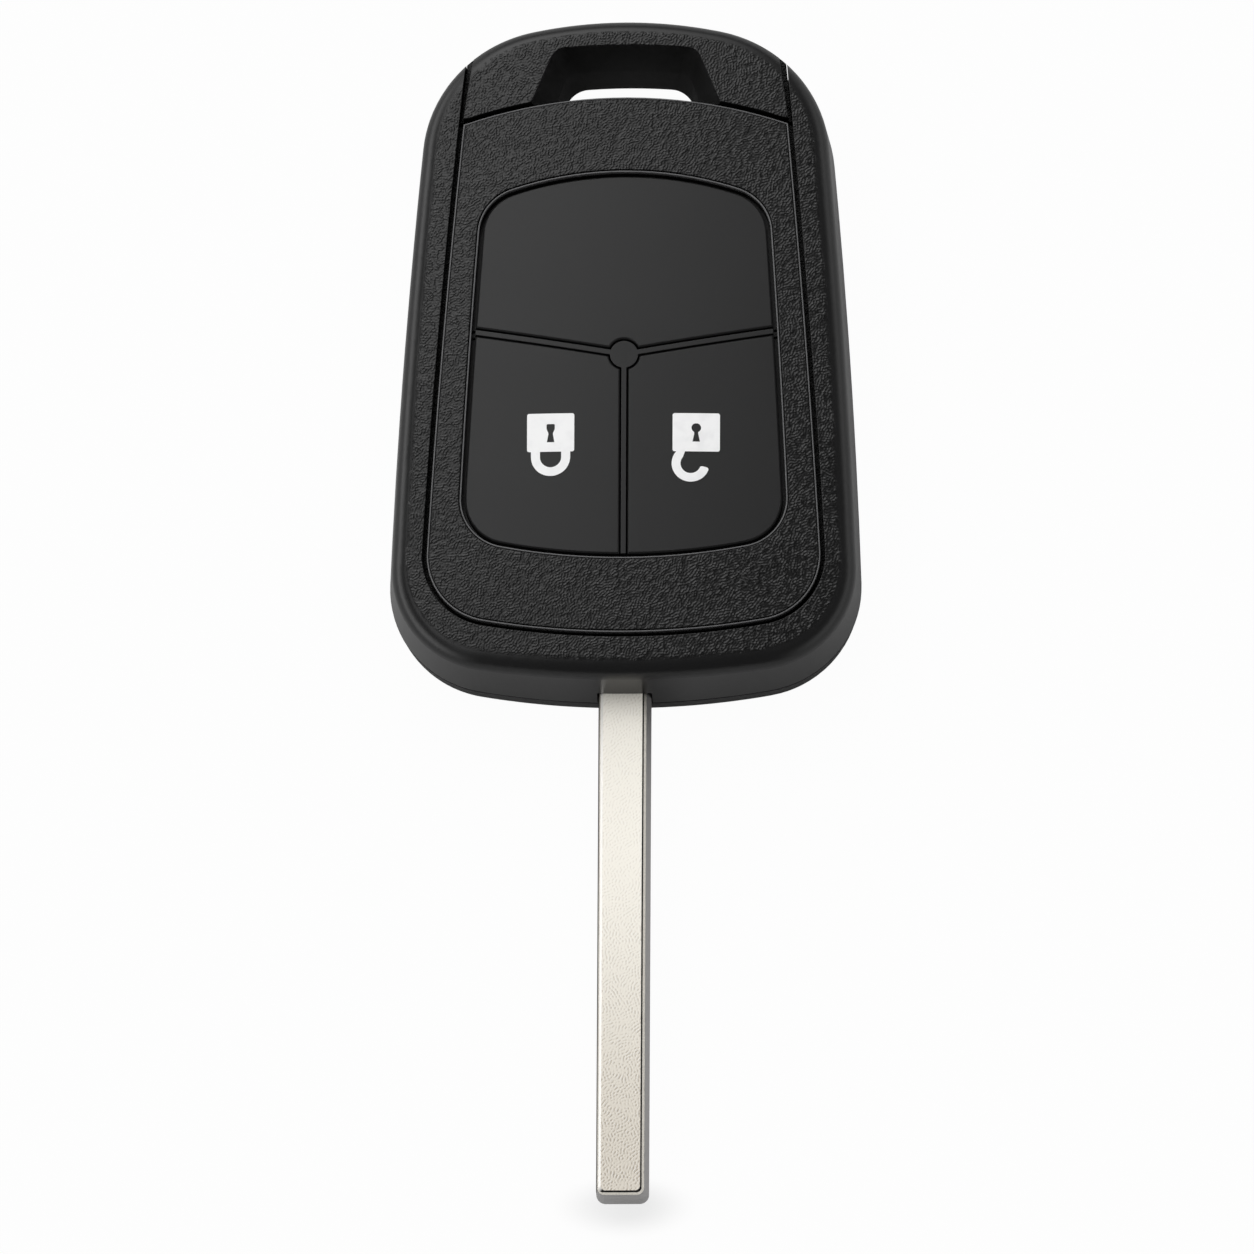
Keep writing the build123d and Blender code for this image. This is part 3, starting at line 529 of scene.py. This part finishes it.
# Padlock signs: a thin white print on each button, the shackle towards the blade
signShape = {
    "bodySize": (3.78, 3.18),
    "bodyCorner": 0.17,
    "thickness": 0.02,
    "sunk": 0.01,
    "gridStep": 0.4,
    "gridReach": 4.0,
    "gridMargin": 1e-5,
    "segments": 4,
    "shackleSteps": 28,
    "above": 50.0,
}
lockSign = {
    "place": (-5.845, 13.3),
    "keyhole": [(0.33, 0.71), (0.33, 0.28), (0.17, -0.06), (0.3, -0.8)],
    "keyholeRound": 0.1,
    "shackleBelow": 0.44,
    "outerRadius": 1.57,
    "innerRadius": 0.85,
}
unlockSign = {
    "place": (5.8, 13.27),
    "keyholeHead": 0.375,
    "keyholeRadius": 0.385,
    "keyholeTurn": (math.radians(90), math.radians(-64)),
    "keyholeSteps": 9,
    "keyhole": [(0.155, -0.08), (0.3, -0.775)],
    "shackleBelow": 0.99,
    "shackleAside": -0.44,
    "outerRadius": 1.52,
    "innerRadius": 0.81,
    "neckWidth": 0.7,
    "openAngle": math.radians(-14),
    "endRound": 0.22,
}


def addPiece(shape, name, material):
    mesh = bpy.data.meshes.new(name)
    shape.to_mesh(mesh)
    shape.free()
    mesh.materials.append(material)
    piece = bpy.data.objects.new(name, mesh)
    bpy.context.scene.collection.objects.link(piece)
    return piece


def roundCorners(shape, corners, radius):
    bmesh.ops.bevel(shape, geom=corners, offset=radius, affect="VERTICES",
                    segments=signShape["segments"], profile=0.5, material=-1)


def startSign():
    # the body plate of a padlock, in millimetres round its own middle
    shape = bmesh.new()
    corners = bmesh.ops.create_grid(shape, x_segments=1, y_segments=1, size=0.5)["verts"]
    bmesh.ops.scale(shape, verts=corners, vec=(*signShape["bodySize"], 1))
    roundCorners(shape, corners, signShape["bodyCorner"])
    return shape


def cutKeyhole(shape, points, rounding=0.0):
    # points run down the right side, the left side mirrors them
    outline = points + [(-x, y) for x, y in reversed(points)]
    corners = [shape.verts.new((x, y, 0)) for x, y in outline]
    edges = [shape.edges.new((a, b)) for a, b in zip(corners, corners[1:] + corners[:1])]
    if rounding:
        aboveFoot = corners[:len(points) - 1] + corners[len(points) + 1:]
        roundCorners(shape, aboveFoot, rounding)
    bmesh.ops.delete(shape, geom=shape.faces[:], context="FACES_ONLY")
    bmesh.ops.triangle_fill(shape, use_beauty=True, edges=shape.edges[:], normal=(0, 0, 1))


def arcPoints(centreY, radius, start, end, steps):
    turns = [start + (end - start) * step / steps for step in range(steps + 1)]
    return [(radius * math.cos(turn), centreY + radius * math.sin(turn)) for turn in turns]


def spinShackle(shape, sign, middle, start, end):
    # a band of quads round the middle, from one angle to another
    ends = [shape.verts.new((middle[0] + radius * math.cos(start), middle[1] + radius * math.sin(start), 0))
            for radius in (sign["innerRadius"], sign["outerRadius"])]
    edge = shape.edges.new(ends)
    made = bmesh.ops.spin(shape, geom=[*ends, edge], cent=(*middle, 0), axis=(0, 0, 1),
                          angle=end - start, steps=signShape["shackleSteps"])["geom_last"]
    return edge, [part for part in made if isinstance(part, bmesh.types.BMEdge)][0]


def finishSign(shape, sign, name, button, body):
    # cut into small faces, laid on the button, given its thickness
    reach = signShape["gridReach"]
    for axis in (0, 1):
        for step in range(round(2 * reach / signShape["gridStep"])):
            across = [0.0, 0.0, 0.0]
            across[axis] = -reach + step * signShape["gridStep"]
            normal = [0, 0, 0]
            normal[axis] = 1
            bmesh.ops.bisect_plane(shape, geom=shape.verts[:] + shape.edges[:] + shape.faces[:],
                                   dist=signShape["gridMargin"], plane_co=across, plane_no=normal)
    bmesh.ops.translate(shape, verts=shape.verts, vec=(*sign["place"], 0))
    bmesh.ops.scale(shape, verts=shape.verts, vec=(mm, mm, mm))
    depsgraph = bpy.context.evaluated_depsgraph_get()
    for vert in shape.verts:
        above = (vert.co.x, vert.co.y, signShape["above"] * mm)
        buttonTop = cadNodes[button].ray_cast(above, (0, 0, -1), depsgraph=depsgraph)[1]
        vert.co.z = buttonTop.z - signShape["sunk"] * mm
    raised = bmesh.ops.extrude_face_region(shape, geom=shape.faces[:])["geom"]
    raised = [part for part in raised if isinstance(part, bmesh.types.BMVert)]
    thickness = (signShape["thickness"] + signShape["sunk"]) * mm
    bmesh.ops.translate(shape, verts=raised, vec=(0, 0, thickness))
    bmesh.ops.recalc_face_normals(shape, faces=shape.faces)
    piece = addPiece(shape, name, signMaterial)
    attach(piece, body)


bodyFoot = -signShape["bodySize"][1] / 2
shape = startSign()
cutKeyhole(shape, lockSign["keyhole"], lockSign["keyholeRound"])
middle = (0, bodyFoot - lockSign["shackleBelow"])
for end in spinShackle(shape, lockSign, middle, math.pi, 2 * math.pi):
    leg = bmesh.ops.extrude_edge_only(shape, edges=[end])["geom"]
    leg = [part for part in leg if isinstance(part, bmesh.types.BMVert)]
    bmesh.ops.translate(shape, verts=leg, vec=(0, lockSign["shackleBelow"], 0))
finishSign(shape, lockSign, "lock_sign", "lock_button", "lock_key")

shape = startSign()
head = arcPoints(unlockSign["keyholeHead"], unlockSign["keyholeRadius"],
                 *unlockSign["keyholeTurn"], unlockSign["keyholeSteps"])
cutKeyhole(shape, head[1:] + unlockSign["keyhole"])
middle = (unlockSign["shackleAside"], bodyFoot - unlockSign["shackleBelow"])
neckAngle = math.pi - math.asin(unlockSign["shackleBelow"] / unlockSign["outerRadius"])
neck, openEnd = spinShackle(shape, unlockSign, middle, neckAngle, 2 * math.pi + unlockSign["openAngle"])
outer = max(neck.verts, key=lambda vert: vert.co.y)
inner = min(neck.verts, key=lambda vert: vert.co.y)
corner = shape.verts.new((outer.co.x + unlockSign["neckWidth"], bodyFoot, 0))
shape.faces.new((outer, inner, corner))
roundCorners(shape, list(openEnd.verts), unlockSign["endRound"])
finishSign(shape, unlockSign, "unlock_sign", "unlock_button", "unlock_key")
print("two padlock signs made")

# Rim beads: thin lines that stand beside the cover's outer edge and inside its window
beadShape = {
    "topFacing": 0.9,
    "topDepth": 0.1,
    "shoulder": 0.03,
    "samePlace": 0.001,
    "leastMitre": 0.5,
    "names": ["window_rim_bead", "cover_rim_bead"],
    "window_rim_bead": {"near": 0.09, "far": 0.21, "drop": 0.05, "foot": 0.9},
    "cover_rim_bead": {"near": 0.07, "far": 0.19, "drop": 0.08, "foot": 0.5},
}


def crownHeight(place):
    # height of the crowned front over a place, in millimetres
    across = place.x / mm
    along = place.y / mm - crownShape["middle"]
    fall = across * across / crownShape["acrossRadius"] + along * along / crownShape["alongRadius"]
    return crownShape["top"] - fall / 2


def coverEdges():
    # only the two closed edges of the cover's top face, each point with its way out of the face
    shape = bmesh.new()
    shape.from_mesh(cadNodes["front_cover"].data)
    bmesh.ops.remove_doubles(shape, verts=shape.verts, dist=beadShape["samePlace"] * mm)
    shape.normal_update()

    def isTop(face):
        depth = min(crownHeight(vert.co) - vert.co.z / mm for vert in face.verts)
        return face.normal.z > beadShape["topFacing"] and depth < beadShape["topDepth"]

    tops = {face for face in shape.faces if isTop(face)}
    rims = [edge for edge in shape.edges if len(tops.intersection(edge.link_faces)) == 1]
    waysOut = {}
    for edge in rims:
        face = tops.intersection(edge.link_faces).pop()
        first, second = (vert.co for vert in edge.verts)
        out = Vector((second.y - first.y, first.x - second.x, 0)).normalized()
        if out.dot(first - face.calc_center_median()) < 0:
            out = -out
        for vert in edge.verts:
            waysOut.setdefault(vert, []).append(out)
    others = [vert for vert in shape.verts if vert not in waysOut]
    bmesh.ops.delete(shape, geom=others, context="VERTS")
    bmesh.ops.delete(shape, geom=[edge for edge in shape.edges if edge not in rims], context="EDGES_FACES")
    bmesh.ops.delete(shape, geom=shape.faces[:], context="FACES_ONLY")
    return shape, {vert: mitre(*outs) for vert, outs in waysOut.items()}


def mitre(first, second):
    # the way out at a corner, as long as the corner needs
    out = (first + second).normalized()
    return out / max(out.dot(first), beadShape["leastMitre"])


def oneLoop(shape, vert):
    # every point that hangs together with one point
    loop, fresh = {vert}, [vert]
    while fresh:
        around = [edge.other_vert(vert) for vert in fresh for edge in vert.link_edges]
        fresh = [vert for vert in around if vert not in loop]
        loop.update(fresh)
    return loop


def makeBead(name):
    # keeps the window's edge or the outer one, and sweeps the bead's section along it by extruding
    bead = beadShape[name]
    near, far, shoulder = bead["near"], bead["far"], beadShape["shoulder"]
    section = [(near, bead["foot"]), (near, bead["drop"] + shoulder), (near + shoulder, bead["drop"]),
               (far - shoulder, bead["drop"]), (far, bead["drop"] + shoulder), (far, bead["foot"])]
    shape, waysOut = coverEdges()
    outer = oneLoop(shape, max(shape.verts, key=lambda vert: vert.co.x))
    dropped = outer if name == "window_rim_bead" else [vert for vert in shape.verts if vert not in outer]
    bmesh.ops.delete(shape, geom=list(dropped), context="VERTS")
    ring = {vert: (vert.co.copy(), waysOut[vert]) for vert in shape.verts}
    edges = firstEdges = shape.edges[:]
    for step, (out, below) in enumerate(section):
        if step:
            made = bmesh.ops.extrude_edge_only(shape, edges=edges)["geom"]
            edges = [part for part in made if isinstance(part, bmesh.types.BMEdge)]
            added = [part for part in made if isinstance(part, bmesh.types.BMVert)]
            places = {tuple(vert.co): kept for vert, kept in ring.items()}
            ring = {vert: places[tuple(vert.co)] for vert in added}
        for vert, (edgePlace, wayOut) in ring.items():
            vert.co = edgePlace + wayOut * (out * mm) - Vector((0, 0, below * mm))
    bmesh.ops.bridge_loops(shape, edges=firstEdges + edges)
    bmesh.ops.recalc_face_normals(shape, faces=shape.faces)
    piece = addPiece(shape, name, beadHighlightMaterial)
    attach(piece, "case")
    print(name, "made,", len(piece.data.polygons), "faces")


for name in beadShape["names"]:
    makeBead(name)

# Floor: white towards the camera, with a painted shadow under the blade's tip
floorSettings = {
    "size": 3.0,
    "colour": (0.5, 0.5, 0.5, 1),
    "drop": 0.00003,
    "white": 0.97,
    "tipShadow": (0, 0.0478, 0),
    "tipStretch": (1, 2.2, 1),
    "tipReach": (0.0015, 0.0062),
    "tipStrength": 0.2,
}
floorMaterial, base = startMaterial("pale floor")
place = base.node("TexCoord", out="Object")
for operation, name in (("ADD", "tipShadow"), ("MULTIPLY", "tipStretch")):
    plugs = {0: place, 1: floorSettings[name]}
    place = base.node("VectorMath", {"operation": operation}, plugs, out="Vector")
fromTip = base.node("VectorMath", {"operation": "LENGTH"}, {0: place}, out="Value")
nearTip = 1 - fromTip.between(*floorSettings["tipReach"])
onCamera = base.node("LightPath", out="Is Camera Ray")
lit = base.node("BsdfDiffuse", {}, {"Color": floorSettings["colour"]})
glowing = base.node("Emission", {}, {"Color": (1, 1, 1, 1), "Strength": 1.0})
# painted shadow under the blade's tip
paper = onCamera * (floorSettings["white"] - nearTip * floorSettings["tipStrength"])
endTree(base, base.node("MixShader", {}, {0: paper, 1: lit, 2: glowing}))
shape = bmesh.new()
bmesh.ops.create_grid(shape, x_segments=1, y_segments=1, size=floorSettings["size"] / 2)
bmesh.ops.translate(shape, verts=shape.verts, vec=(0, 0, -floorSettings["drop"]))
floor = addPiece(shape, "floor", floorMaterial)

# World: a soft box at the upper left, pale cards low at both sides, dark towards the foot and the right
room = {
    "fromLeft": 3.4,
    "fromHead": 1.8,
    "lowest": 0.02,
    "highest": 2.1,
    "boxEnd": (0.4, 0.62),
    "boxFoot": (0.1, 0.45),
    "everywhere": 0.06,
    "cardSide": (0.35, 0.85),
    "cardTop": (0.2, 0.6),
    "cardLevel": 1.9,
    "rightCard": 0.4,
    "cardChange": (-0.2, 0.2),
}
world = bpy.data.worlds.new("studio")
bpy.context.scene.world = world
world.use_nodes = True
world.node_tree.nodes.clear()
base = Signal(world.node_tree)
direction = base.node("TexCoord", out="Generated")
toRight, toHead, toTop = (direction.axis(number) for number in range(3))
box = toHead * room["fromHead"] - toRight * room["fromLeft"]
box = box.maths("MINIMUM", box.maths("MAXIMUM", box, room["lowest"]), room["highest"])
box = box * (1 - (0 - toRight).between(*room["boxEnd"])) * toTop.between(*room["boxFoot"])
cards = toRight.maths("ABSOLUTE", toRight).between(*room["cardSide"]) * (1 - toTop.between(*room["cardTop"]))
cards = cards * room["cardLevel"] * (1 - toRight.between(*room["cardChange"]) * (1 - room["rightCard"]))
glow = box + cards + room["everywhere"]
onCamera = base.node("LightPath", out="Is Camera Ray")
glow = glow * (1 - onCamera) + onCamera
background = base.node("Background", {}, {"Color": (1, 1, 1, 1), "Strength": glow})
endTree(base, background, "World")

# The fill lights what is matt and leaves the gloss to the room
fillLamp = {"place": (0.0, 0.10, 0.60), "size": (0.7, 0.7), "radiance": 1.6}
light = bpy.data.lights.new("fill", "AREA")
light.shape = "RECTANGLE"
light.size, light.size_y = fillLamp["size"]
light.energy = fillLamp["radiance"] * math.pi * light.size * light.size_y
holder = bpy.data.objects.new("fill", light)
holder.location = fillLamp["place"]
holder.rotation_euler = (-Vector(fillLamp["place"])).to_track_quat("-Z", "Y").to_euler()
holder.visible_camera = False
holder.visible_glossy = False
bpy.context.scene.collection.objects.link(holder)

# Camera: towards the foot, and a little to the right of the key's middle
cameraSettings = {
    "target": (0.104 * mm, -0.6 * mm, 4.4 * mm),
    "elevation": math.radians(72),
    "sideTilt": math.radians(1.8),
    "roll": math.radians(0.3),
    "distance": 4.4,  # beyond about 4.8 the other views stand past their own far clip
    "frameWidth": 100.32 * mm,
    "sensor": 36.0,
    "clip": (1.0, 30.0),
}
camera = bpy.data.cameras.new("camera")
cameraObject = bpy.data.objects.new("camera", camera)
elevation, sideTilt = cameraSettings["elevation"], cameraSettings["sideTilt"]
toCamera = Vector((math.sin(elevation) * math.sin(sideTilt), -math.cos(elevation),
                   math.sin(elevation) * math.cos(sideTilt)))
unrolled = Vector((math.cos(sideTilt), 0, -math.sin(sideTilt)))
roll = cameraSettings["roll"]
toTheRight = unrolled * math.cos(roll) + toCamera.cross(unrolled) * math.sin(roll)
cameraObject.location = Vector(cameraSettings["target"]) + toCamera * cameraSettings["distance"]
axes = Matrix((toTheRight, toCamera.cross(toTheRight), toCamera)).transposed()
cameraObject.rotation_euler = axes.to_euler()
camera.sensor_width = cameraSettings["sensor"]
camera.lens = cameraSettings["sensor"] * cameraSettings["distance"] / cameraSettings["frameWidth"]
camera.clip_start, camera.clip_end = cameraSettings["clip"]
bpy.context.scene.collection.objects.link(cameraObject)
bpy.context.scene.camera = cameraObject
bpy.context.scene.view_settings.view_transform = "Standard"
print("floor, room, lamp and camera made")
